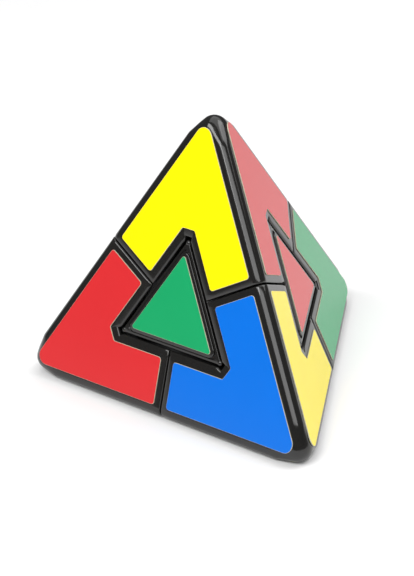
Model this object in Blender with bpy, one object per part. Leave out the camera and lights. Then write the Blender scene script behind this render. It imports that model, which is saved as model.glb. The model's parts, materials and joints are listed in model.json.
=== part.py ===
"""Corner-turning pyramid puzzle: four corners, four face centres and the hidden mechanism."""
import bpy
import bmesh
import math
from mathutils import Matrix, Quaternion, Vector

MM = 0.001
L = 104.4                 # sharp edge length of the tetrahedron, mm
RC = L * math.sqrt(6) / 4     # centre to sharp vertex
RI = RC / 3                   # centre to face
R_VERTEX = 3.8            # rounding at the four tips
R_RIDGE = 2.3             # rounding along the six ridges
RIDGE_START = 14.5        # where the tip rounding has faded into the ridge rounding
GAP = 0.3                 # running gap between moving pieces
SIDE_SET = 0.8            # keeps the centre's side clear of its neighbour's floor cut
SMALL_IN = 10.4           # inradius of the small centre triangle at its seam
PLATEAU_IN = 9.1          # inradius of the raised frame on a centre
TIER_IN = 9.4             # groove floor round the frame
PLATEAU_R = 1.7
TIER_DROP = 1.1           # how far the groove floor lies below the frame
PIP_R = 0.7
PIP_AT = 17.75            # pip distance from the face centre
NOTCH_BLUNT = (0.75, 19.0, 21.35)  # half width, from and to, measured from the face centre
CAP_T = 2.0               # depth of the cap plate under the face
NECK_Z = 3.1              # cut level in the neck shell
FOOT_Z = 0.0              # cut level in the foot shell
R_NECK_IN = 15.1          # sphere between foot shell and neck shell
R_CORE = 10.4             # sphere between foot shell and core
BALL_R = 10.05
POST_R = 3.0
POST_TOP = 15.1
BASE_SPHERE = 21.9
PLUG_R = 7.0
PLUG_TOP = 33.0
BORE_R = 3.35
WEB_LOW = 15.8
WEB_TOP = 17.5
EDGE_SPHERE = 23.0
STICKER_LIFT = 0.03
STICKER_T = 0.25
STICKER_EDGE = 3.86       # sticker border from the sharp ridge
STICKER_SEAM = 2.12       # sticker border from the seam
STICKER_NOTCH = 13.06     # notch line of a corner sticker from the face centre
STICKER_NOTCH_CUT = 23.0  # where the notch is cut straight across
CENTRE_STICKER_IN = 7.96
SEG = 40                  # facets round a revolved cut

Z0 = RI + STICKER_LIFT + STICKER_T
CENTRE = Vector((0, 0, Z0))

for ob in list(bpy.data.objects):
    bpy.data.objects.remove(ob, do_unlink=True)


def az(deg, up):
    c = math.sqrt(1 - up * up)
    return Vector((c * math.cos(math.radians(deg)), c * math.sin(math.radians(deg)), up))


CORNERS = ["top", "right", "back", "left"]
AXES = {"top": Vector((0, 0, 1)), "right": az(-30, -1 / 3), "back": az(90, -1 / 3), "left": az(210, -1 / 3)}
# face name -> the corner opposite it
FACES = {"front": "back", "rightside": "left", "leftside": "right", "base": "top"}
OPPOSITE = {v: k for k, v in FACES.items()}


# ---------- materials ----------
def material(name, rgb, rough, metal=0.0):
    m = bpy.data.materials.new(name)
    m.use_nodes = True
    b = m.node_tree.nodes["Principled BSDF"]
    b.inputs["Base Color"].default_value = (*rgb, 1)
    b.inputs["Roughness"].default_value = rough
    b.inputs["Metallic"].default_value = metal
    m.diffuse_color = (*rgb, 1)
    return m


BLACK = material("gloss_black_plastic", (0.012, 0.012, 0.013), 0.25)
DARK = material("matte_black_plastic", (0.03, 0.03, 0.032), 0.55)
GREY = material("grey_nylon", (0.25, 0.25, 0.26), 0.5)
STEEL = material("brushed_steel", (0.6, 0.6, 0.62), 0.35, 1.0)
VINYL = {
    "yellow": material("yellow_vinyl", (1.0, 0.88, 0.0), 0.3),
    "red": material("red_vinyl", (0.81, 0.03, 0.04), 0.3),
    "green": material("green_vinyl", (0.012, 0.46, 0.16), 0.3),
    "blue": material("blue_vinyl", (0.0, 0.19, 0.84), 0.3),
}


# ---------- mesh helpers (all in mm, about the puzzle's centre) ----------
def obj(name, verts, faces, mat=None, hide=False):
    me = bpy.data.meshes.new(name)
    me.from_pydata([tuple(Vector(v) * MM) for v in verts], [], faces)
    bm = bmesh.new()
    bm.from_mesh(me)
    bmesh.ops.recalc_face_normals(bm, faces=bm.faces)
    bm.to_mesh(me)
    bm.free()
    ob = bpy.data.objects.new(name, me)
    bpy.context.collection.objects.link(ob)
    if mat:
        me.materials.append(mat)
    if hide:
        ob.hide_render = True
        ob.display_type = "WIRE"
    return ob


def turn_to(direction, spin=0.0):
    """Matrix taking +Z to the direction."""
    q = Vector((0, 0, 1)).rotation_difference(Vector(direction))
    return q.to_matrix() @ Matrix.Rotation(spin, 3, "Z")


def revolve(name, profile, axis, seg=SEG, mat=None, hide=True, spin=0.0):
    """Revolve (radius, height) points about the axis; a radius of zero closes on the axis."""
    m = turn_to(axis, spin)
    verts, rings = [], []
    for r, z in profile:
        if r < 1e-6:
            rings.append([len(verts)])
            verts.append(m @ Vector((0, 0, z)))
        else:
            ring = []
            for i in range(seg):
                a = 2 * math.pi * i / seg
                ring.append(len(verts))
                verts.append(m @ Vector((r * math.cos(a), r * math.sin(a), z)))
            rings.append(ring)
    faces = []
    n = len(rings)
    closed = len(rings[0]) > 1 or len(rings[-1]) > 1
    for k in range(n if closed else n - 1):
        a, b = rings[k], rings[(k + 1) % n]
        for i in range(seg):
            j = (i + 1) % seg
            if len(a) == 1 and len(b) == 1:
                continue
            if len(a) == 1:
                faces.append((a[0], b[j], b[i]))
            elif len(b) == 1:
                faces.append((a[i], a[j], b[0]))
            else:
                faces.append((a[i], a[j], b[j], b[i]))
    return obj(name, verts, faces, mat, hide)


def offset(profile, d):
    """Move an open (radius, height) polyline sideways by d, to its left."""
    out = []
    n = len(profile)
    for i, p in enumerate(profile):
        p = Vector(p)
        a = (p - Vector(profile[i - 1])).normalized() if i else None
        b = (Vector(profile[i + 1]) - p).normalized() if i < n - 1 else None
        na = Vector((-a.y, a.x)) if a else None
        nb = Vector((-b.y, b.x)) if b else None
        if na and nb:
            m = (na + nb).normalized()
            out.append(p + m * (d / max(m.dot(na), 0.3)))
        else:
            out.append(p + (na or nb) * d)
    return [(v.x, v.y) for v in out]


def solid_cut(target, tools, op="DIFFERENCE", tidy=True):
    """Boolean the target with each tool in turn and bake the result."""
    for t in tools:
        mod = target.modifiers.new("cut", "BOOLEAN")
        mod.operation = op
        mod.solver = "EXACT"
        mod.object = t
    dg = bpy.context.evaluated_depsgraph_get()
    me = bpy.data.meshes.new_from_object(target.evaluated_get(dg))
    target.modifiers.clear()
    old = target.data
    target.data = me
    bpy.data.meshes.remove(old)
    if not tidy:
        return target
    # merge flat facets where that keeps the skin closed
    for planar in (True, False):
        bm = bmesh.new()
        bm.from_mesh(me)
        bmesh.ops.remove_doubles(bm, verts=bm.verts, dist=0.000001)
        bmesh.ops.dissolve_degenerate(bm, edges=bm.edges, dist=0.000001)
        if planar:
            bmesh.ops.dissolve_limit(bm, angle_limit=0.002, verts=bm.verts, edges=bm.edges)
            bmesh.ops.triangulate(bm, faces=bm.faces)
        closed = all(e.is_manifold for e in bm.edges)
        if closed:
            bm.to_mesh(me)
        bm.free()
        if closed:
            break
    return target


def largest(target):
    """Drop the crumbs that crossing cuts leave beside the main body."""
    bm = bmesh.new()
    bm.from_mesh(target.data)
    seen, groups = set(), []
    for v in bm.verts:
        if v in seen:
            continue
        seen.add(v)
        todo, found = [v], []
        while todo:
            a = todo.pop()
            found.append(a)
            for e in a.link_edges:
                b = e.other_vert(a)
                if b not in seen:
                    seen.add(b)
                    todo.append(b)
        groups.append(found)
    groups.sort(key=len)
    for g in groups[:-1]:
        bmesh.ops.delete(bm, geom=g, context="VERTS")
    bm.to_mesh(target.data)
    bm.free()
    return target


def drop(*obs):
    for o in obs:
        bpy.data.objects.remove(o, do_unlink=True)


def copy_of(ob, name):
    c = bpy.data.objects.new(name, ob.data.copy())
    bpy.context.collection.objects.link(c)
    return c


# ---------- outer form ----------
def arc_dirs(a, b, n):
    q = a.rotation_difference(b)
    return [Quaternion().slerp(q, i / n) @ a for i in range(n + 1)]


def outer_form(name, r_vertex=R_VERTEX, r_ridge=R_RIDGE, tip_n=5, ridge_n=4):
    pts = []
    for k in CORNERS:
        normals = [-AXES[i] for i in CORNERS if i != k]
        c = AXES[k] * (RC - 3 * r_vertex)
        for i in range(tip_n + 1):
            for j in range(tip_n + 1 - i):
                d = normals[0] * i + normals[1] * j + normals[2] * (tip_n - i - j)
                pts.append(c + d.normalized() * r_vertex)
    for x in range(4):
        for y in range(x + 1, 4):
            a, b = CORNERS[x], CORNERS[y]
            na, nb = [-AXES[i] for i in CORNERS if i not in (a, b)]
            mid = (AXES[a] + AXES[b]) * RC / 2
            e = (AXES[a] - AXES[b]).normalized()
            c = mid - mid.normalized() * (r_ridge * math.sqrt(3))
            for s in (-1, 1):
                for d in arc_dirs(na, nb, ridge_n):
                    pts.append(c + e * s * (L / 2 - RIDGE_START) + d * r_ridge)
    bm = bmesh.new()
    for p in pts:
        bm.verts.new(p * MM)
    bmesh.ops.remove_doubles(bm, verts=bm.verts, dist=1e-7)
    res = bmesh.ops.convex_hull(bm, input=bm.verts)
    loose = {g for g in res["geom_interior"] + res["geom_unused"] if isinstance(g, bmesh.types.BMVert)}
    bmesh.ops.delete(bm, geom=list(loose), context="VERTS")
    bmesh.ops.dissolve_limit(bm, angle_limit=0.002, verts=bm.verts, edges=bm.edges)
    bmesh.ops.recalc_face_normals(bm, faces=bm.faces)
    me = bpy.data.meshes.new(name)
    bm.to_mesh(me)
    bm.free()
    ob = bpy.data.objects.new(name, me)
    bpy.context.collection.objects.link(ob)
    me.materials.append(BLACK)
    return ob


# ---------- the turning surface of a corner ----------
def cut_profile(grow):
    """Half-profile of the surface a turning corner sweeps: seam, centre side, floor and foot steps."""
    d_mid = L / math.sqrt(3)

    def on_face(d, u):
        return (math.hypot(d / 3, u), RC - d * math.sqrt(8) / 3)

    seam = [on_face(f * L, (d_mid - f * L) * math.sqrt(3)) for f in (0.30, 0.36, 0.41, 0.45, 0.49)]
    d_t, u_t = d_mid - SMALL_IN / 2, SMALL_IN * math.sqrt(3) / 2
    d_b, u_b = d_mid + SMALL_IN, SMALL_IN * math.sqrt(3)
    side = [on_face(d_t + (d_b - d_t) * t, u_t + (u_b - u_t) * t) for t in (0, 0.33, 0.67, 1)]
    side = [(r - SIDE_SET * s, z) for (r, z), s in zip(side, (0.3, 0.8, 1, 1))]
    z_b = side[-1][1]
    under = lambda z: (RC - z) * 0.35355 - CAP_T * 1.0607
    floor = [(under(z_b), z_b), (under(NECK_Z), NECK_Z), (R_NECK_IN, NECK_Z), (R_NECK_IN, FOOT_Z), (4.0, FOOT_Z)]
    line = offset(seam + side + floor, grow)
    top = RC + 12
    return [(0, top), (line[0][0], top)] + line + [(0, line[-1][1])]


def sweep(k, grow, seg=SEG):
    return revolve("sweep_" + k, cut_profile(grow), AXES[k], seg)


def ball(name, r, seg=32, rings=16):
    prof = [(0, r)] + [(r * math.sin(math.pi * i / rings), r * math.cos(math.pi * i / rings)) for i in range(1, rings)] + [(0, -r)]
    return revolve(name, prof, Vector((0, 0, 1)), seg)


# ---------- symmetry ----------
def group():
    out = []
    base = [AXES[c] for c in CORNERS]
    mats = [Matrix.Identity(3)]
    for c in CORNERS:
        for s in (1, -1):
            mats.append(Matrix.Rotation(s * 2 * math.pi / 3, 3, AXES[c]))
    for a, b in (("top", "right"), ("top", "back"), ("top", "left")):
        mats.append(Matrix.Rotation(math.pi, 3, (AXES[a] + AXES[b]).normalized()))
    for m in mats:
        perm = [max(range(4), key=lambda j: (m @ base[i]).dot(base[j])) for i in range(4)]
        out.append((m, {CORNERS[i]: CORNERS[perm[i]] for i in range(4)}))
    return out


GROUP = group()


def place(proto, name, m, mat=None):
    c = copy_of(proto, name)
    c.data.transform(m.to_4x4())
    c.location = CENTRE * MM
    c.data.materials.clear()
    c.data.materials.append(mat)
    c.data.name = name
    return c


def taking_top_to(k):
    return next(m for m, p in GROUP if p["top"] == k)


# ---------- flat outlines ----------
def meet(n1, k1, n2, k2):
    det = n1[0] * n2[1] - n1[1] * n2[0]
    return ((k1 * n2[1] - k2 * n1[1]) / det, (n1[0] * k2 - n2[0] * k1) / det)


def fillet(points, radii, seg):
    """Round each corner of a closed outline."""
    out = []
    n = len(points)
    for i in range(n):
        p, a, b = Vector(points[i]), Vector(points[i - 1]), Vector(points[(i + 1) % n])
        u, v = (a - p).normalized(), (b - p).normalized()
        half = math.acos(max(-1, min(1, u.dot(v)))) / 2
        r = radii[i]
        c = p + (u + v).normalized() * (r / math.sin(half))
        s, e = p + u * (r / math.tan(half)) - c, p + v * (r / math.tan(half)) - c
        a0 = math.atan2(s.y, s.x)
        sweep_a = (math.atan2(e.y, e.x) - a0 + math.pi) % (2 * math.pi) - math.pi
        for k in range(seg[i] + 1):
            t = a0 + sweep_a * k / seg[i]
            out.append((c.x + r * math.cos(t), c.y + r * math.sin(t)))
    return out


def corner_sticker_outline():
    n30, n150 = (math.cos(math.pi / 6), 0.5), (-math.cos(math.pi / 6), 0.5)
    t30, t150 = (-0.5, math.cos(math.pi / 6)), (0.5, math.cos(math.pi / 6))
    edge = L / (2 * math.sqrt(3)) - STICKER_EDGE
    pts = [
        meet(n30, edge, n150, edge),
        meet(n150, edge, t150, STICKER_SEAM),
        meet(n150, STICKER_NOTCH, t150, STICKER_SEAM),
        meet(n150, STICKER_NOTCH, (0, 1), STICKER_NOTCH_CUT),
        meet(n30, STICKER_NOTCH, (0, 1), STICKER_NOTCH_CUT),
        meet(n30, STICKER_NOTCH, t30, STICKER_SEAM),
        meet(n30, edge, t30, STICKER_SEAM),
    ]
    return fillet(pts, [2.6, 0.6, 0.6, 0.5, 0.5, 0.6, 0.6], [5, 2, 2, 2, 2, 2, 2])


def triangle(inradius, r, seg):
    return fillet([(0, 2 * inradius), (-inradius * math.sqrt(3), -inradius), (inradius * math.sqrt(3), -inradius)], [r] * 3, [seg] * 3)


def face_basis(face, k):
    """Outward normal of a face, with its in-plane up direction towards corner k."""
    n = -AXES[FACES[face]]
    up = (AXES[k] - n * AXES[k].dot(n)).normalized()
    return up.cross(n), up, n


def prism(name, outline, basis, lo, hi, mat=None, hide=False):
    x, y, n = basis
    verts = [x * p[0] + y * p[1] + n * h for h in (lo, hi) for p in outline]
    k = len(outline)
    faces = [tuple(range(k)), tuple(range(k, 2 * k))] + [(i, (i + 1) % k, k + (i + 1) % k, k + i) for i in range(k)]
    return obj(name, verts, faces, mat, hide)


# ---------- canonical corner (the top one) ----------
corner = outer_form("corner_full")
cuts = [sweep(k, GAP / 2) for k in CORNERS if k != "top"]
inner = ball("inner", WEB_LOW, 24, 12)
# the tip of each notch is cut square, clear of the pip behind it
blunt = []
for face in ("front", "rightside", "leftside"):
    w, lo, hi = NOTCH_BLUNT
    blunt.append(prism("blunt", [(-w, lo), (w, lo), (w, hi), (-w, hi)], face_basis(face, "top"), RI - 3.5, RI + 1, hide=True))
solid_cut(corner, cuts + [inner] + blunt, tidy=False)

shell = copy_of(corner, "shell")


def plug_profile(g):
    r = PLUG_R + g
    R = BASE_SPHERE + g
    z = math.sqrt(R * R - r * r)
    a0 = math.asin(r / R)
    arc = [(R * math.sin(a0 + (math.pi - a0) * i / 10), R * math.cos(a0 + (math.pi - a0) * i / 10)) for i in range(10)]
    return [(0, PLUG_TOP + g), (r, PLUG_TOP + g)] + arc + [(0, -R)]


plug = revolve("plug", plug_profile(0), AXES["top"], 30)
socket = revolve("socket", plug_profile(GAP), AXES["top"], 30)
hollow = revolve("hollow", [(0, 47), (1.6, 46.2), (5.4, 34.5), (5.4, 30), (0, 30)], AXES["top"], 18)
largest(solid_cut(shell, [socket, hollow]))
solid_cut(corner, [plug], "INTERSECT", tidy=False)
bore = revolve("bore", [(0, 40), (BORE_R, 40), (BORE_R, WEB_TOP), (1.75, WEB_TOP), (1.75, 10), (0, 10)], AXES["top"], 16)
solid_cut(corner, [bore])
drop(*cuts, inner, *blunt, plug, socket, hollow, bore)

# ---------- canonical centre (the base one, opposite the top corner) ----------
down = face_basis("base", "right")
SPLIT = RI - CAP_T - 0.9
tier = RI - TIER_DROP


def frustum(name, basis, levels, r, seg, mat=None, hide=True):
    """Loft rounded triangles through (height, inradius) levels."""
    x, y, n = basis
    rings = [[x * p[0] + y * p[1] + n * h for p in triangle(inr, r, seg)] for h, inr in levels]
    k = len(rings[0])
    verts = [v for ring in rings for v in ring]
    faces = [tuple(range(k)), tuple(range(k * (len(rings) - 1), k * len(rings)))]
    for j in range(len(rings) - 1):
        faces += [(j * k + i, j * k + (i + 1) % k, (j + 1) * k + (i + 1) % k, (j + 1) * k + i) for i in range(k)]
    return obj(name, verts, faces, mat, hide)


cap = frustum("cap", down, [(RI - CAP_T + 0.2, TIER_IN - 0.3), (tier, TIER_IN)], 0.5, 3, BLACK, False)
parts = [
    frustum("plateau", down, [(tier - 0.35, PLATEAU_IN), (RI - 0.25, PLATEAU_IN), (RI, PLATEAU_IN - 0.25)], PLATEAU_R, 4),
    frustum("stem", down, [(SPLIT + GAP / 2, 2.85), (RI - CAP_T + 0.5, 3.15)], 0.5, 1),
]
for k in ("right", "back", "left"):
    x, y, n = face_basis("base", k)
    prof = [(0, tier + 0.5), (PIP_R * 0.6, tier + 0.38), (PIP_R, tier + 0.05), (PIP_R, tier - 0.3), (0, tier - 0.3)]
    p = revolve("pip", prof, n, 10, spin=0.2)
    p.data.transform(Matrix.Translation(y * PIP_AT * MM))
    parts.append(p)
solid_cut(cap, parts, "UNION")
pin_hole = revolve("pin_hole", [(0, SPLIT + 2.1), (1.45, SPLIT + 2.1), (1.45, 10), (0, 10)], -AXES["top"], 10, spin=0.1)
solid_cut(cap, [pin_hole])
drop(*parts, pin_hole)

centre = outer_form("centre_full")
cuts = [sweep(k, -GAP / 2) for k in CORNERS if k != "top"]
solid_cut(centre, cuts, "INTERSECT", tidy=False)
core_room = ball("core_room", R_CORE + GAP / 2, 24, 12)
solid_cut(centre, [core_room], tidy=False)
foot = copy_of(centre, "foot")
keep_foot = revolve("keep_foot", [(0, SPLIT - GAP / 2), (6.7, SPLIT - GAP / 2), (6.7, 15.8), (12.5, 15.8), (12.5, 2), (0, 2)], -AXES["top"], 24)
solid_cut(foot, [keep_foot], "INTERSECT", tidy=False)
pin = revolve("pin", [(0, SPLIT + 1.8), (1.25, SPLIT + 1.8), (1.25, 14), (0, 14)], -AXES["top"], 10)
solid_cut(foot, [pin], "UNION")
drop(centre, *cuts, core_room, keep_foot, pin)

# ---------- canonical edge slide (between top and right) ----------
slide = ball("slide", EDGE_SPHERE, 24, 12)
slide.hide_render = False
slide.display_type = "TEXTURED"
inside = [sweep("top", -GAP / 2), sweep("right", -GAP / 2)]
outside = [sweep("back", GAP / 2), sweep("left", GAP / 2)]
core_room = ball("core_room", R_CORE + GAP / 2, 24, 12)
solid_cut(slide, inside, "INTERSECT", tidy=False)
solid_cut(slide, outside + [core_room])
drop(*inside, *outside, core_room)

# ---------- core, screws, springs, washers ----------
core = ball("core", BALL_R, 18, 9)
core.hide_render = False
core.display_type = "TEXTURED"
posts = [revolve("post", [(0, POST_TOP), (POST_R, POST_TOP), (POST_R, 5), (0, 5)], AXES[k], 14) for k in CORNERS]
solid_cut(core, posts, "UNION")
pilots = [revolve("pilot", [(0, 20), (1.45, 20), (1.45, 6), (0, 6)], AXES[k], 10) for k in CORNERS]
solid_cut(core, pilots)
drop(*posts, *pilots)
core.location = CENTRE * MM
core.data.materials.clear()
core.data.materials.append(GREY)

HEAD_LO, HEAD_HI = 22.4, 24.4
screw = revolve("screw", [(0, HEAD_HI), (1.9, HEAD_HI), (2.7, HEAD_HI - 0.9), (2.7, HEAD_LO), (1.2, HEAD_LO), (1.2, 7.3), (0, 6.5)], AXES["top"], 12)
slots = []
for w in ((1.8, 0.35), (0.35, 1.8)):
    x, y, n = Vector((1, 0, 0)), Vector((0, 1, 0)), Vector((0, 0, 1))
    slots.append(prism("slot", [(-w[0], -w[1]), (w[0], -w[1]), (w[0], w[1]), (-w[0], w[1])], (x, y, n), HEAD_HI - 1.0, HEAD_HI + 2, hide=True))
solid_cut(screw, slots)
drop(*slots)
washer = revolve("washer", [(1.55, 21.55), (2.95, 21.55), (2.95, 22.15), (1.55, 22.15)], AXES["top"], 14)


def coil(name, r, wire, z_lo, z_hi, turns, steps=9, sides=5):
    verts, faces = [], []
    total = int(turns * steps)
    for i in range(total + 1):
        a = 2 * math.pi * i / steps
        z = z_lo + wire + (z_hi - z_lo - 2 * wire) * i / total
        radial = Vector((math.cos(a), math.sin(a), 0))
        for s in range(sides):
            b = 2 * math.pi * s / sides
            verts.append(radial * (r + wire * math.cos(b)) + Vector((0, 0, z + wire * math.sin(b))))
    for i in range(total):
        for s in range(sides):
            t = (s + 1) % sides
            faces.append((i * sides + s, (i + 1) * sides + s, (i + 1) * sides + t, i * sides + t))
    faces.append(tuple(range(sides)))
    faces.append(tuple(total * sides + s for s in range(sides)))
    return obj(name, verts, faces)


spring = coil("spring", 2.4, 0.33, WEB_TOP + 0.1, 21.45, 3)

# ---------- place every node ----------
COLOURS = {
    "top": {"front": "yellow", "rightside": "red", "leftside": "blue"},
    "right": {"front": "blue", "rightside": "yellow", "base": "green"},
    "left": {"front": "red", "leftside": "green", "base": "blue"},
    "back": {"rightside": "green", "leftside": "yellow", "base": "red"},
}
CENTRES = {"front": "green", "rightside": "red", "leftside": "yellow", "base": "blue"}

outline = corner_sticker_outline()
tri = triangle(CENTRE_STICKER_IN, 0.7, 3)
for k in CORNERS:
    m = taking_top_to(k)
    place(shell, "corner_shell_" + k, m, BLACK)
    place(corner, "corner_base_" + k, m, DARK)
    place(screw, "screw_" + k, m, STEEL)
    place(washer, "washer_" + k, m, STEEL)
    place(spring, "spring_" + k, m, STEEL)
    for face, colour in COLOURS[k].items():
        s = prism("sticker_%s_%s" % (k, face), outline, face_basis(face, k), RI + STICKER_LIFT, RI + STICKER_LIFT + STICKER_T, VINYL[colour])
        s.location = CENTRE * MM
    face = OPPOSITE[k]
    place(cap, "centre_cap_" + face, m, BLACK)
    place(foot, "centre_foot_" + face, m, DARK)
    towards = next(c for c in CORNERS if c != k)
    s = prism("centre_sticker_" + face, tri, face_basis(face, towards), RI + STICKER_LIFT, RI + STICKER_LIFT + STICKER_T, VINYL[CENTRES[face]])
    s.location = CENTRE * MM
for x in range(4):
    for y in range(x + 1, 4):
        a, b = CORNERS[x], CORNERS[y]
        m = next(m for m, p in GROUP if {p["top"], p["right"]} == {a, b})
        place(slide, "edge_slide_%s_%s" % (a, b), m, DARK)
drop(shell, corner, screw, washer, spring, cap, foot, slide)
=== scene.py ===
import json
import math

import bmesh
import bpy
import numpy as np
from mathutils import Matrix, Vector


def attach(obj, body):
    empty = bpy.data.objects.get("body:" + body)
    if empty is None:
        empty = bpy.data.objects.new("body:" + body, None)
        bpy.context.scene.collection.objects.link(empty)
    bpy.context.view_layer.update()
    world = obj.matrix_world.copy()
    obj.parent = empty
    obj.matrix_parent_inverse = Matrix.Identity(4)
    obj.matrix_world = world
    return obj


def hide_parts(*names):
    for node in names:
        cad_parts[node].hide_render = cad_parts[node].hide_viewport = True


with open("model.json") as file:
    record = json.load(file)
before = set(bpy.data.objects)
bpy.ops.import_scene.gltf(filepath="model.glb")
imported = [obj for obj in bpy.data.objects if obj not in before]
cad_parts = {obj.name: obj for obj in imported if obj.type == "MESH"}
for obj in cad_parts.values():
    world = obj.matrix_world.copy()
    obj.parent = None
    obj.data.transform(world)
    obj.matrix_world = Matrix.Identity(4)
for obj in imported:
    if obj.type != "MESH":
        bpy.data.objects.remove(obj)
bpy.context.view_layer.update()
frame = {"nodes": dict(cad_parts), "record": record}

# ---------------------------------------------------------------------------
# Core, screws, washers and springs
# A grey nylon ball with four posts carries a zinc-plated screw, a washer and
# a steel spring in each, which pull the corners onto it.
# ---------------------------------------------------------------------------
CORNERS = ["top", "right", "back", "left"]


def srgb(code):
    """Linear colour from an sRGB hex value."""
    parts = [int(code[i:i + 2], 16) / 255 for i in (1, 3, 5)]
    return tuple(c / 12.92 if c <= 0.04045 else ((c + 0.055) / 1.055) ** 2.4 for c in parts) + (1.0,)


def cells(size_mm):
    """Noise scale, in cells to the metre, for a pattern of this size in mm."""
    return 1000 / size_mm


def add(tree, kind, settings=(), links=()):
    """A node with its settings, and links into it as (input, from node, output)."""
    node = tree.nodes.new(kind)
    for key, value in dict(settings).items():
        if isinstance(key, int) or key in node.inputs:
            node.inputs[key].default_value = value
        else:
            setattr(node, key, value)
    for socket, source, output in links:
        tree.links.new(source.outputs[output], node.inputs[socket])
    return node


def finish(name):
    """A new material with its node tree and its bare surface shader."""
    material = bpy.data.materials.new(name)
    material.use_nodes = True
    return material, material.node_tree, material.node_tree.nodes["Principled BSDF"]


def noise(tree, size_mm, detail, **settings):
    """Noise over the piece, with a pattern of this size."""
    place = add(tree, "ShaderNodeTexCoord")
    settings = {"Scale": cells(size_mm), "Detail": detail, **settings}
    return add(tree, "ShaderNodeTexNoise", settings, [("Vector", place, "Object")])


def tint(tree, surface, pattern, first, second):
    """Let the pattern mix two close tones of the colour."""
    settings = {"data_type": "RGBA", 6: srgb(first), 7: srgb(second)}
    tone = add(tree, "ShaderNodeMix", settings, [(0, pattern, "Fac")])
    tree.links.new(tone.outputs[2], surface.inputs["Base Color"])


def sheen(tree, surface, pattern, smooth, rough, **settings):
    """Let the pattern vary the roughness between two values."""
    settings = {"To Min": smooth, "To Max": rough, **settings}
    spread = add(tree, "ShaderNodeMapRange", settings, [("Value", pattern, "Fac")])
    tree.links.new(spread.outputs[0], surface.inputs["Roughness"])


def dents(tree, surface, pattern, strength, depth_mm):
    """Let the pattern raise and sink the surface."""
    settings = {"Strength": strength, "Distance": depth_mm / 1000}
    bump = add(tree, "ShaderNodeBump", settings, [("Height", pattern, "Fac")])
    tree.links.new(bump.outputs[0], surface.inputs["Normal"])


def wear(node, material):
    """Give a node of the frame one material."""
    node.data.materials.clear()
    node.data.materials.append(material)


# Nylon: injection moulded, slightly waxy, with a faint mottling.
nylon, tree, surface = finish("moulded_grey_nylon")
surface.inputs["IOR"].default_value = 1.53
mottle = noise(tree, 2.5, 3.0)
tint(tree, surface, mottle, "#7d7f82", "#8c8e90")
sheen(tree, surface, mottle, 0.42, 0.58)
dents(tree, surface, mottle, 0.12, 0.05)

# Zinc-plated steel: bright, with a fine grain in the plating.
zinc, tree, surface = finish("zinc_plated_steel")
surface.inputs["Metallic"].default_value = 1.0
plating = noise(tree, 0.667, 2.0)
tint(tree, surface, plating, "#b9bcc0", "#d3d4d2")
sheen(tree, surface, plating, 0.25, 0.4)

wear(frame["nodes"]["core"], nylon)
for corner in CORNERS:
    for part in ("screw_", "washer_", "spring_"):
        wear(frame["nodes"][part + corner], zinc)

# ---------------------------------------------------------------------------
# Edge slides, corner bases and centre feet
# The hidden working parts, moulded in the same black ABS as the outside but
# left with the duller skin of a tool that isn't polished.
# ---------------------------------------------------------------------------
dull_abs, tree, surface = finish("as_moulded_black_abs")
surface.inputs["IOR"].default_value = 1.54
spark = noise(tree, 1.11, 4.0)
tint(tree, surface, spark, "#1c1c1d", "#262627")
sheen(tree, surface, spark, 0.45, 0.65)
dents(tree, surface, spark, 0.2, 0.05)

for name, node in frame["nodes"].items():
    if name.startswith(("edge_slide_", "corner_base_", "centre_foot_")):
        wear(node, dull_abs)

# ---------------------------------------------------------------------------
# Corner shells
# Four hollow ABS mouldings, each a rounded tip with an arrow-shaped window
# edge on its three faces. The polished tool leaves them glossy, and every rim
# is broken with a small radius.
# ---------------------------------------------------------------------------
# Every corner turns about a line from the middle of the core through its tip.
twists = {j["name"]: j for j in frame["record"]["behaviour"]["joints"]}
AXIS = {k: Vector(twists["twist_" + k]["axis"]).normalized() for k in CORNERS}
MIDDLE = Vector(twists["twist_top"]["pos_m"])
ACROSS = {"front": "back", "rightside": "left", "leftside": "right", "base": "top"}  # face: corner across
TOP_FACES = ("front", "rightside", "leftside")
EDGE = 0.1044                       # sharp edge of the pyramid
FACE_INRADIUS = EDGE / (2 * math.sqrt(3))
TIP_DISTANCE = EDGE * math.sqrt(6) / 4
FACE_DISTANCE = TIP_DISTANCE / 3

TIP_RADIUS, RIDGE_RADIUS = 0.00387, 0.0023
RIDGE_START = 0.0145                # from the sharp tip to where the ridge's own radius begins
GAP = 0.00015                       # half the gap between neighbours
RIM = 0.0006                        # radius on the rims
RIM_STEPS = 4
RIM_DROP = 0.0002                   # how far the rim's wall goes straight down under its radius
WINDOW = 0.01055                    # centre opening, from the face's middle to its side
POCKET, POCKET_END = 0.001, 0.0205  # half width of the pocket in the opening's corners, and where it ends
POCKET_ZONE = 0.9 * POCKET_END      # past here a rim point can belong to the pocket
WALL = 0.97                         # the inside is the outside drawn in to this scale,
SLIDES = 0.0231                     # but no nearer the middle than the edge slides reach
MERGE = 1e-6                        # points closer than this are one

# Directions on a face with the corner upwards, to the right of its middle line.
RIDGE_OUT = np.array([math.sqrt(3) / 2, 0.5])
SEAM_OUT = np.array([-0.5, math.sqrt(3) / 2])
MIRROR = np.array([-1, 1])

# Fineness of the rounded skin.
TIP_STEPS, RIDGE_STEPS = 36, 48
RIDGE_LEANS = (-0.09, -0.06, -0.03, 0.0, 0.03, 0.06, 0.09)
GRAZING = 0.05                      # directions flatter than this to a ray don't bound it

# Where the pocket's end and mouth come along an arrow's window side, as parts of its length.
POCKET_SHARE, MOUTH_SHARE = 0.1, 0.15


def face_plane(face, towards):
    """Right, up and outward directions on a face, up pointing to a corner."""
    out = -AXIS[ACROSS[face]]
    up = (AXIS[towards] - out * AXIS[towards].dot(out)).normalized()
    return up.cross(out), up, out


def corner_pairs():
    """The two corners at the ends of each ridge."""
    return [(p, q) for i, p in enumerate(CORNERS) for q in CORNERS[i + 1:]]


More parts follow.
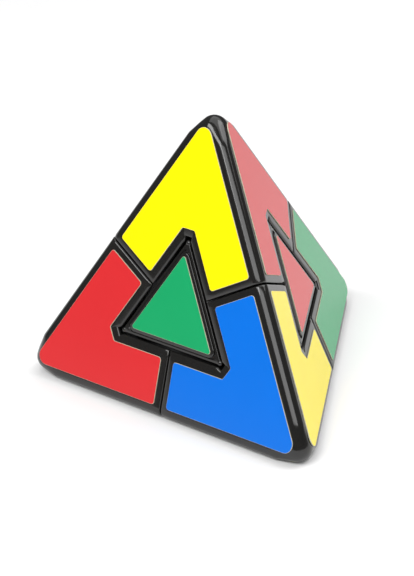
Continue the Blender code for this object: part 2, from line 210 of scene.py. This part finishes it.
def rounded_normals():
    """Directions that the rounded pyramid's skin can face: over each tip, and round each ridge."""
    out = []
    for corner in CORNERS:
        a, b, c = [-AXIS[k] for k in CORNERS if k != corner]
        for i in range(TIP_STEPS + 1):
            for j in range(TIP_STEPS + 1 - i):
                out.append((a * i + b * j + c * (TIP_STEPS - i - j)).normalized())
    for p, q in corner_pairs():
        a, b = [-AXIS[k] for k in CORNERS if k not in (p, q)]
        along = (AXIS[p] - AXIS[q]).normalized()
        for i in range(RIDGE_STEPS + 1):
            for lean in RIDGE_LEANS:
                out.append((a.lerp(b, i / RIDGE_STEPS).normalized() + along * lean).normalized())
    return np.array([tuple(v) for v in out])


def rounded_reach(normals):
    """How far the rounded pyramid reaches along each of those directions."""
    balls = [(AXIS[k] * (TIP_DISTANCE - 3 * TIP_RADIUS), TIP_RADIUS) for k in CORNERS]
    for p, q in corner_pairs():
        middle = (AXIS[p] + AXIS[q]) * (TIP_DISTANCE / 2)
        middle -= middle.normalized() * (RIDGE_RADIUS * math.sqrt(3))
        for end in (-1, 1):
            reach = end * (EDGE / 2 - RIDGE_START)
            balls.append((middle + (AXIS[p] - AXIS[q]).normalized() * reach, RIDGE_RADIUS))
    centres = np.array([tuple(centre) for centre, radius in balls])
    return (normals @ centres.T + np.array([radius for centre, radius in balls])).max(axis=1)


NORMALS = rounded_normals()
REACH = rounded_reach(NORMALS)


def onto_skin(points):
    """Move points along their rays from the middle onto the rounded skin, with its normal there."""
    p = np.array([tuple(v) for v in points])
    ray = p / np.linalg.norm(p, axis=1)[:, None]
    slope = ray @ NORMALS.T
    far = np.where(slope > GRAZING, REACH / np.maximum(slope, GRAZING), np.inf)
    nearest = far.argmin(axis=1)
    return ray * far[np.arange(len(ray)), nearest][:, None], NORMALS[nearest]


def crossing(n1, k1, n2, k2):
    """Where two lines of a face meet, each given by its normal and its distance."""
    det = n1[0] * n2[1] - n1[1] * n2[0]
    return np.array([(k1 * n2[1] - k2 * n1[1]) / det, (n1[0] * k2 - n2[0] * k1) / det])


def half_arrow(edge_in):
    """Grid over the right half of a corner's arrow on one face, with its rim drawn in by edge_in."""
    tip = np.array([0, 2 * FACE_INRADIUS])
    end = crossing(RIDGE_OUT, FACE_INRADIUS, SEAM_OUT, GAP + edge_in)
    elbow = crossing(RIDGE_OUT, WINDOW + edge_in, SEAM_OUT, GAP + edge_in)
    mouth = crossing(RIDGE_OUT, WINDOW + edge_in, (1, 0), POCKET + edge_in)
    blunt = np.array([POCKET + edge_in, POCKET_END + edge_in])
    middle = np.array([0, POCKET_END + edge_in])
    # closer together near the tip and the ridge, where the skin bends most
    along = np.concatenate([np.linspace(0, 0.3, 15)[:-1], np.linspace(0.3, 1, 15)])
    along = np.unique(np.concatenate([along, [POCKET_SHARE, MOUTH_SHARE]]))
    inward = [np.linspace(0, 0.2, 11)[:-1], np.linspace(0.2, 0.36, 5)[:-1], np.linspace(0.36, 1, 7)]
    inward = np.concatenate(inward)

    def window_side(s):
        if s <= POCKET_SHARE:
            return middle + (blunt - middle) * (s / POCKET_SHARE)
        if s <= MOUTH_SHARE:
            return blunt + (mouth - blunt) * ((s - POCKET_SHARE) / (MOUTH_SHARE - POCKET_SHARE))
        return mouth + (elbow - mouth) * ((s - MOUTH_SHARE) / (1 - MOUTH_SHARE))

    grid = np.zeros((len(along), len(inward), 2))
    for i, s in enumerate(along):
        for j, v in enumerate(inward):
            ridge, window = tip + (end - tip) * s, window_side(s)
            left, right = tip + (middle - tip) * v, end + (elbow - end) * v
            flat = (1 - s) * (1 - v) * tip + s * (1 - v) * end + (1 - s) * v * middle + s * v * elbow
            grid[i, j] = (1 - v) * ridge + v * window + (1 - s) * left + s * right - flat
    return grid


def corner_skin():
    """The top corner's three arrows, still flat on their faces and joined along the ridges."""
    grid = half_arrow(RIM)
    rows, cols = grid.shape[:2]
    bm = bmesh.new()
    for face in TOP_FACES:
        right, up, out = face_plane(face, "top")
        base = out * FACE_DISTANCE
        for side in (1, -1):
            at = [[bm.verts.new(right * (side * u) + up * v + base) for u, v in row] for row in grid]
            for i in range(rows - 1):
                for j in range(cols - 1):
                    quad = [at[i][j], at[i + 1][j], at[i + 1][j + 1], at[i][j + 1]]
                    bm.faces.new(quad if side < 0 else quad[::-1])
    bmesh.ops.remove_doubles(bm, verts=bm.verts, dist=MERGE)
    return bm


def rim_direction(point):
    """Which way the rim faces at a flat point on its edge: along the face, away from the plastic."""
    face = max(TOP_FACES, key=lambda f: point.dot(-AXIS[ACROSS[f]]))
    right, up, out = face_plane(face, "top")
    u, v = (point - out * FACE_DISTANCE).dot(right), (point - out * FACE_DISTANCE).dot(up)
    side = 1 if u >= 0 else -1
    lines = [(-SEAM_OUT, -(GAP + RIM)), (-RIDGE_OUT, -(WINDOW + RIM))]
    if v > POCKET_ZONE:
        lines += [(np.array([-1.0, 0.0]), -(POCKET + RIM)), (np.array([0.0, -1.0]), -(POCKET_END + RIM))]
    near = [normal for normal, reach in lines if abs(np.array([abs(u), v]) @ normal - reach) < MERGE]
    facing = near[0]
    if len(near) > 1:
        facing = (near[0] + near[1]) / (1 + near[0] @ near[1])
    elif abs(u) < MERGE:
        facing = np.array([0.0, facing[1]])
    return right * (side * facing[0]) + up * facing[1]


def rim_loop(bm):
    """The points of the open rim, in order round the corner."""
    start = next(e for e in bm.edges if e.is_boundary).verts[0]
    loop, last, here = [start], None, start
    while True:
        ahead = [e.other_vert(here) for e in here.link_edges if e.is_boundary]
        step = next(v for v in ahead if v is not last)
        if step is start:
            return loop
        loop.append(step)
        last, here = here, step


def join_rings(bm, first, second):
    """A band of faces between two closed rings of points."""
    for i in range(len(first)):
        j = (i + 1) % len(first)
        bm.faces.new((first[i], first[j], second[j], second[i]))


def corner_shell_mesh():
    """The top corner as a closed wall: skin, rolled rims, a short straight drop and the inside."""
    bm = corner_skin()
    bm.verts.ensure_lookup_table()
    flat = [v.co.copy() for v in bm.verts]
    skin_at, skin_normal = onto_skin(flat)
    ring = rim_loop(bm)
    ids = [v.index for v in ring]
    facing = [rim_direction(flat[i]) for i in ids]
    for v in bm.verts:
        v.co = Vector(skin_at[v.index])
    skin_faces = list(bm.faces)
    drawn_in = [v.co * max(WALL, SLIDES / v.co.length) for v in bm.verts]
    inner = [bm.verts.new(p) for p in drawn_in]
    for k in range(1, RIM_STEPS + 1):
        a = math.pi / 2 * k / RIM_STEPS
        rolled = []
        for i, o in zip(ids, facing):
            sunk = Vector(skin_normal[i]) * (RIM * (1 - math.cos(a)))
            rolled.append(bm.verts.new(Vector(skin_at[i]) + o * (RIM * math.sin(a)) - sunk))
        join_rings(bm, ring, rolled)
        ring = rolled
    straight = [v.co - Vector(skin_normal[i]) * RIM_DROP for i, v in zip(ids, ring)]
    dropped = [bm.verts.new(p * max(1.0, SLIDES / p.length)) for p in straight]
    join_rings(bm, ring, dropped)
    join_rings(bm, dropped, [inner[i] for i in ids])
    for f in skin_faces:
        bm.faces.new([inner[v.index] for v in reversed(f.verts)])
    bmesh.ops.recalc_face_normals(bm, faces=bm.faces)
    mesh = bpy.data.meshes.new("corner_shell")
    bm.to_mesh(mesh)
    bm.free()
    return mesh


# ABS: moulded against polished steel, a glossy near-black skin with faint waviness and hair-fine rubs.
gloss_abs, tree, surface = finish("polished_black_abs")
surface.inputs["IOR"].default_value = 1.54
wave = noise(tree, 3.85, 2.0)
rubs = noise(tree, 0.714, 6.0, Roughness=0.7)
tint(tree, surface, wave, "#151413", "#1c1b1a")
sheen(tree, surface, rubs, 0.1, 0.16, **{"From Min": 0.3, "From Max": 0.7})
dents(tree, surface, wave, 0.03, 0.1)


def turn_to_corner(corner):
    """A turn that lays the pyramid onto itself and takes the top corner to this one."""
    turns = [Matrix.Identity(3)]
    for k in CORNERS:
        turns += [Matrix.Rotation(s * 2 * math.pi / 3, 3, AXIS[k]) for s in (1, -1)]
    return next(m for m in turns if (m @ AXIS["top"]).dot(AXIS[corner]) > 0.99)


def smooth(piece, sharp_degrees):
    """Shade the piece smooth, and keep edges sharper than this as edges."""
    piece.data.polygons.foreach_set("use_smooth", [True] * len(piece.data.polygons))
    piece.data.set_sharp_from_angle(angle=math.radians(sharp_degrees))


def lay(mesh, name, corner, body, stands_for):
    """Put a black piece made for the top corner, or for the face across from it, at another corner."""
    piece = bpy.data.objects.new(name, mesh.copy())
    piece.data.transform(Matrix.Translation(MIDDLE) @ turn_to_corner(corner).to_4x4())
    piece.data.materials.append(gloss_abs)
    bpy.context.collection.objects.link(piece)
    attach(piece, body)
    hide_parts(stands_for)
    return piece


corner_mesh = corner_shell_mesh()
for corner in CORNERS:
    shell = lay(corner_mesh, "tip_" + corner, corner, "corner_" + corner, "corner_shell_" + corner)
    smooth(shell, 50)

# ---------------------------------------------------------------------------
# Corner stickers
# Twelve arrow-shaped vinyl stickers, die cut with small corner radii. Their cut edge
# is coloured pale, partly the film's paler body and partly a painted highlight, and shows as a thin light
# line round the colour.
# ---------------------------------------------------------------------------
LIFT, THICK = 0.00003, 0.00025      # clear of the plastic, and the film itself
FILM_LOW = FACE_DISTANCE + LIFT
FILM_HIGH = FILM_LOW + THICK
EDGE_EASE, EDGE_DROP, EDGE_FADE = 0.00008, 0.00001, 0.0002  # how the top edge rolls over
FROM_RIDGE, FROM_SEAM = 0.00386, 0.00212
WINDOW_LINE, WINDOW_CUT = 0.01306, 0.02265
TIP_CURVE, ARM_CURVE, NOTCH_CURVE = 0.0026, 0.0009, 0.0007
CURVE_STEPS = 8


def round_off(points, radii):
    """Round each corner of a closed outline."""
    out = []
    for i, r in enumerate(radii):
        p, a, b = Vector(points[i]), Vector(points[i - 1]), Vector(points[(i + 1) % len(points)])
        u, v = (a - p).normalized(), (b - p).normalized()
        half = math.acos(max(-1, min(1, u.dot(v)))) / 2
        c = p + (u + v).normalized() * (r / math.sin(half))
        s, e = p + u * (r / math.tan(half)) - c, p + v * (r / math.tan(half)) - c
        start = math.atan2(s.y, s.x)
        turn = (math.atan2(e.y, e.x) - start + math.pi) % (2 * math.pi) - math.pi
        angles = [start + turn * k / CURVE_STEPS for k in range(CURVE_STEPS + 1)]
        out += [(c.x + r * math.cos(t), c.y + r * math.sin(t)) for t in angles]
    return out


def arrow_outline(inset):
    """Outline of a corner sticker, drawn in by the inset."""
    left_ridge, left_seam = RIDGE_OUT * MIRROR, SEAM_OUT * MIRROR
    edge = FACE_INRADIUS - FROM_RIDGE - inset
    seam, window, cut = FROM_SEAM + inset, WINDOW_LINE + inset, WINDOW_CUT + inset
    points = [
        crossing(RIDGE_OUT, edge, left_ridge, edge),
        crossing(left_ridge, edge, left_seam, seam),
        crossing(left_ridge, window, left_seam, seam),
        crossing(left_ridge, window, (0, 1), cut),
        crossing(RIDGE_OUT, window, (0, 1), cut),
        crossing(RIDGE_OUT, window, SEAM_OUT, seam),
        crossing(RIDGE_OUT, edge, SEAM_OUT, seam),
    ]
    arm, notch = ARM_CURVE - inset, NOTCH_CURVE + inset
    return round_off([tuple(p) for p in points], [TIP_CURVE - inset, arm, arm, notch, notch, arm, arm])


def film_levels(outline):
    """A sticker's outline at each height, its top edge slightly rolled over."""
    return [
        (outline(0), FILM_LOW),
        (outline(0), FILM_HIGH - EDGE_EASE),
        (outline(EDGE_EASE), FILM_HIGH - EDGE_DROP),
        (outline(EDGE_FADE), FILM_HIGH),
    ]


def loft(levels, plane, rim_levels=()):
    """Closed solid through (outline, height) levels, lowest first."""
    right, up, out = plane
    bm = bmesh.new()
    rings = [[bm.verts.new(right * p[0] + up * p[1] + out * h) for p in outline] for outline, h in levels]
    count = len(rings[0])
    bm.faces.new(rings[0][::-1])
    bm.faces.new(rings[-1])
    for level, (low, high) in enumerate(zip(rings, rings[1:])):
        for i in range(count):
            j = (i + 1) % count
            band = bm.faces.new((low[i], low[j], high[j], high[i]))
            band.material_index = 1 if level in rim_levels else 0
    bmesh.ops.recalc_face_normals(bm, faces=bm.faces)
    mesh = bpy.data.meshes.new("loft")
    bm.to_mesh(mesh)
    bm.free()
    return mesh


def vinyl(name, colour, dim):
    """Vinyl: a glossy calendered film, even in colour, with a very fine orange peel."""
    material, tree, surface = finish(name)
    surface.inputs["IOR"].default_value = 1.4
    peel = noise(tree, 1.43, 3.0)
    cloud = noise(tree, 16.7, 4.0)
    tint(tree, surface, cloud, colour, dim)
    sheen(tree, surface, peel, 0.15, 0.21)
    dents(tree, surface, peel, 0.02, 0.03)
    return material


FILM = {
    "yellow": vinyl("yellow_vinyl_film", "#f8e500", "#f4df00"),
    "red": vinyl("red_vinyl_film", "#d12b2f", "#cc292d"),
    "green": vinyl("green_vinyl_film", "#179f62", "#159a5e"),
    "blue": vinyl("blue_vinyl_film", "#016dd7", "#0169d0"),
}

# The cut edge is coloured pale: partly the film's paler body under the colour, partly a painted
# highlight, the light line that the edge catches.
cut_edge_painted_highlight, tree, surface = finish("vinyl_cut_edge_painted_highlight")
tint(tree, surface, noise(tree, 1.11, 3.0), "#c9c5a8", "#9c9a8c")
surface.inputs["Roughness"].default_value = 0.5


def film_piece(outline, face, towards, name, body, stands_for, colour):
    """A sticker lofted from its outline on a face, with its colour on top and its pale cut edge round it,
    coloured partly as a painted highlight.
    """
    mesh = loft(film_levels(outline), face_plane(face, towards), (0, 1))
    mesh.transform(Matrix.Translation(MIDDLE))
    mesh.materials.append(FILM[colour])
    # the second material: the pale cut edge, partly a painted highlight round the colour
    mesh.materials.append(cut_edge_painted_highlight)
    piece = bpy.data.objects.new(name, mesh)
    bpy.context.collection.objects.link(piece)
    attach(piece, body)
    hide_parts(stands_for)


COLOURS = {
    "top": {"front": "yellow", "rightside": "red", "leftside": "blue"},
    "right": {"front": "blue", "rightside": "yellow", "base": "green"},
    "left": {"front": "red", "leftside": "green", "base": "blue"},
    "back": {"rightside": "green", "leftside": "yellow", "base": "red"},
}
for corner in CORNERS:
    for face, colour in COLOURS[corner].items():
        place = corner + "_" + face
        names = "film_" + place, "corner_" + corner, "sticker_" + place
        film_piece(arrow_outline, face, corner, *names, colour)

# ---------------------------------------------------------------------------
# Face centres
# Small triangular ABS caps set in the window of each face: a raised frame
# round the sticker, a lower step outside it, and a moulded pip in each corner.
# ---------------------------------------------------------------------------
# Sizes across are from the cap's middle to a side, and drops are below the face.
NECK_IN, NECK_TOP_IN, NECK_CURVE, NECK_DROP = 0.0030, 0.0032, 0.0006, 0.0029
PLATE_IN, PLATE_DROP, PLATE_EDGE_DROP = 0.0092, 0.0018, 0.0013
STEP_IN, STEP_CURVE, STEP_DROP, STEP_EASE = 0.0098, 0.0007, 0.00035, 0.00015
FRAME_IN, FRAME_CURVE, FRAME_EASE = 0.00897, 0.0017, 0.0003
GROOVE_DEEP = 0.0003                # the groove at the frame's foot, below the step
CENTRE_FILM_IN, CENTRE_FILM_CURVE = 0.00796, 0.0007
PIP_RADIUS, PIP_AT, PIP_DROP, PIP_RISE = 0.00085, 0.01885, 0.0009, 0.0007
PIP_SKIRT = 0.00005                 # short straight wall under the pip's dome
PIP_RINGS, PIP_SIDES = 6, 20


def tri_outline(inradius, curve):
    """A triangle with one point upwards and its corners rounded."""
    half_side = inradius * math.sqrt(3)
    return round_off([(0, 2 * inradius), (-half_side, -inradius), (half_side, -inradius)], [curve] * 3)


def tri_level(inradius, curve, drop):
    """One level of the cap."""
    return tri_outline(inradius, curve), FACE_DISTANCE - drop


def step_edge(a):
    """The step's outer edge, rolled over through this angle."""
    return tri_level(STEP_IN - STEP_EASE * (1 - math.cos(a)), STEP_CURVE,
                     STEP_DROP + STEP_EASE * (1 - math.sin(a)))


def frame_edge(a):
    """The frame's outer edge, rolled over through this angle."""
    ease = FRAME_EASE * (1 - math.cos(a))
    return tri_level(FRAME_IN - ease, FRAME_CURVE - ease, FRAME_EASE * (1 - math.sin(a)))


cap_levels = [
    tri_level(NECK_IN, NECK_CURVE, NECK_DROP),
    tri_level(NECK_TOP_IN, NECK_CURVE, PLATE_DROP),
    tri_level(PLATE_IN, STEP_CURVE, PLATE_DROP),
    tri_level(STEP_IN, STEP_CURVE, PLATE_EDGE_DROP),
    *[step_edge(a) for a in (0.5, 1.0, 1.5)],
    # the groove closes onto the frame while its corners open out to the frame's curve
    tri_level(FRAME_IN + 0.00018, 0.0012, STEP_DROP),
    tri_level(FRAME_IN + 0.00012, 0.0014, STEP_DROP + GROOVE_DEEP),
    tri_level(FRAME_IN + 0.00001, FRAME_CURVE, STEP_DROP + GROOVE_DEEP),
    tri_level(FRAME_IN, FRAME_CURVE, FRAME_EASE),
    *[frame_edge(a) for a in (0.4, 0.8, 1.2, math.pi / 2)],
]
cap_mesh = loft(cap_levels, face_plane("base", "right"))


def pip_ring(bm, plane, a):
    """A ring of the pip's dome at this angle above its foot, closing to one point at the top."""
    right, up, out = plane
    height = out * (FACE_DISTANCE - PIP_DROP + PIP_RISE * math.sin(a))
    r = PIP_RADIUS * math.cos(a)
    if r < MERGE:
        return [bm.verts.new(up * PIP_AT + height)]
    bearings = [2 * math.pi * i / PIP_SIDES for i in range(PIP_SIDES)]
    return [bm.verts.new(up * (PIP_AT + r * math.sin(b)) + right * (r * math.cos(b)) + height)
            for b in bearings]


def pips_mesh():
    """The three pips of the face across from the top corner."""
    bm = bmesh.new()
    for corner in ("right", "back", "left"):
        plane = face_plane("base", corner)
        rings = [pip_ring(bm, plane, math.pi / 2 * i / PIP_RINGS) for i in range(PIP_RINGS + 1)]
        foot = [bm.verts.new(v.co - plane[2] * PIP_SKIRT) for v in rings[0]]
        bm.faces.new(foot[::-1])
        for low, high in zip([foot] + rings, rings[:-1]):
            join_rings(bm, low, high)
        for i in range(PIP_SIDES):
            bm.faces.new((rings[-2][i], rings[-2][(i + 1) % PIP_SIDES], rings[-1][0]))
    bmesh.ops.recalc_face_normals(bm, faces=bm.faces)
    mesh = bpy.data.meshes.new("pips")
    bm.to_mesh(mesh)
    bm.free()
    return mesh


def centre_film_outline(inset):
    """Outline of a centre sticker, drawn in by the inset."""
    return tri_outline(CENTRE_FILM_IN - inset, CENTRE_FILM_CURVE - inset)


pips = pips_mesh()
CENTRES = {"front": "green", "rightside": "red", "leftside": "yellow", "base": "blue"}
for face, colour in CENTRES.items():
    body, cap = "centre_" + face, "centre_cap_" + face
    smooth(lay(cap_mesh, "cap_" + face, ACROSS[face], body, cap), 40)
    smooth(lay(pips, "pips_" + face, ACROSS[face], body, cap), 40)
    towards = next(k for k in CORNERS if k != ACROSS[face])
    names = "film_centre_" + face, body, "centre_sticker_" + face
    film_piece(centre_film_outline, face, towards, *names, colour)

# ---------------------------------------------------------------------------
# Table, light and camera
# A plain white table under a wide soft tent of light, seen from the front
# and a little above through a long lens.
# ---------------------------------------------------------------------------
bpy.context.scene.view_settings.view_transform = "Standard"

# White laminate: dull and even, so that it shows nothing but the soft shadow.
white, tree, surface = finish("white_laminate")
tint(tree, surface, noise(tree, 25.0, 2.0), "#ebebeb", "#efefef")
surface.inputs["Roughness"].default_value = 0.9
TABLE_REACH = 3.0
bm = bmesh.new()
bmesh.ops.create_grid(bm, x_segments=2, y_segments=2, size=TABLE_REACH)
table_mesh = bpy.data.meshes.new("table")
bm.to_mesh(table_mesh)
bm.free()
table_mesh.materials.append(white)
table = bpy.data.objects.new("table", table_mesh)
bpy.context.collection.objects.link(table)

world = bpy.data.worlds.new("tent")
bpy.context.scene.world = world
world.use_nodes = True
world.node_tree.nodes["Background"].inputs["Color"].default_value = (1, 1, 1, 1)
world.node_tree.nodes["Background"].inputs["Strength"].default_value = 0.15

LIT_POINT = Vector((0, 0, 0.03))


def from_bearing(bearing, height):
    """Unit direction from a bearing and a height in degrees."""
    b, h = math.radians(bearing), math.radians(height)
    return Vector((math.cos(b) * math.cos(h), math.sin(b) * math.cos(h), math.sin(h)))


def softbox(name, bearing, height, reach, wide, tall, strength):
    """A rectangular light that would light a white card facing it to this strength."""
    lamp = bpy.data.lights.new(name, "AREA")
    lamp.shape = "RECTANGLE"
    lamp.size = wide
    lamp.size_y = tall
    lamp.energy = strength * (math.pi * reach) ** 2
    box = bpy.data.objects.new(name, lamp)
    away = from_bearing(bearing, height)
    box.location = LIT_POINT + away * reach
    box.rotation_euler = away.to_track_quat("Z", "Y").to_euler()
    bpy.context.collection.objects.link(box)


softbox("overhead", 95, 73, 1.2, 1.5, 1.5, 0.72)
softbox("right_panel", -48, 38, 0.8, 0.75, 0.28, 0.36)
softbox("left_key", -98, 47, 1.0, 0.7, 0.4, 0.66)
softbox("back_panel", 40, 50, 1.0, 0.6, 0.6, 0.36)

SENSOR_MM, LENS_MM = 36.0, 210.793
CAMERA_BEARING, CAMERA_HEIGHT, CAMERA_ROLL = -49.81, 28.07, math.radians(-3.3)
CAMERA_DISTANCE = 0.6508
CAMERA_AIM = Vector((-0.0015, -0.0049, 0.0287))
camera = bpy.data.cameras.new("camera")
camera.sensor_fit = "HORIZONTAL"
camera.sensor_width = SENSOR_MM
camera.lens = LENS_MM
eye = bpy.data.objects.new("camera", camera)
bpy.context.collection.objects.link(eye)
back = from_bearing(CAMERA_BEARING, CAMERA_HEIGHT)
level = Vector((0, 0, 1)).cross(back).normalized()
upright = back.cross(level)
right = level * math.cos(CAMERA_ROLL) + upright * math.sin(CAMERA_ROLL)
up = upright * math.cos(CAMERA_ROLL) - level * math.sin(CAMERA_ROLL)
turned = Matrix((right, up, back)).transposed().to_4x4()
eye.matrix_world = Matrix.Translation(CAMERA_AIM + back * CAMERA_DISTANCE) @ turned
bpy.context.scene.camera = eye
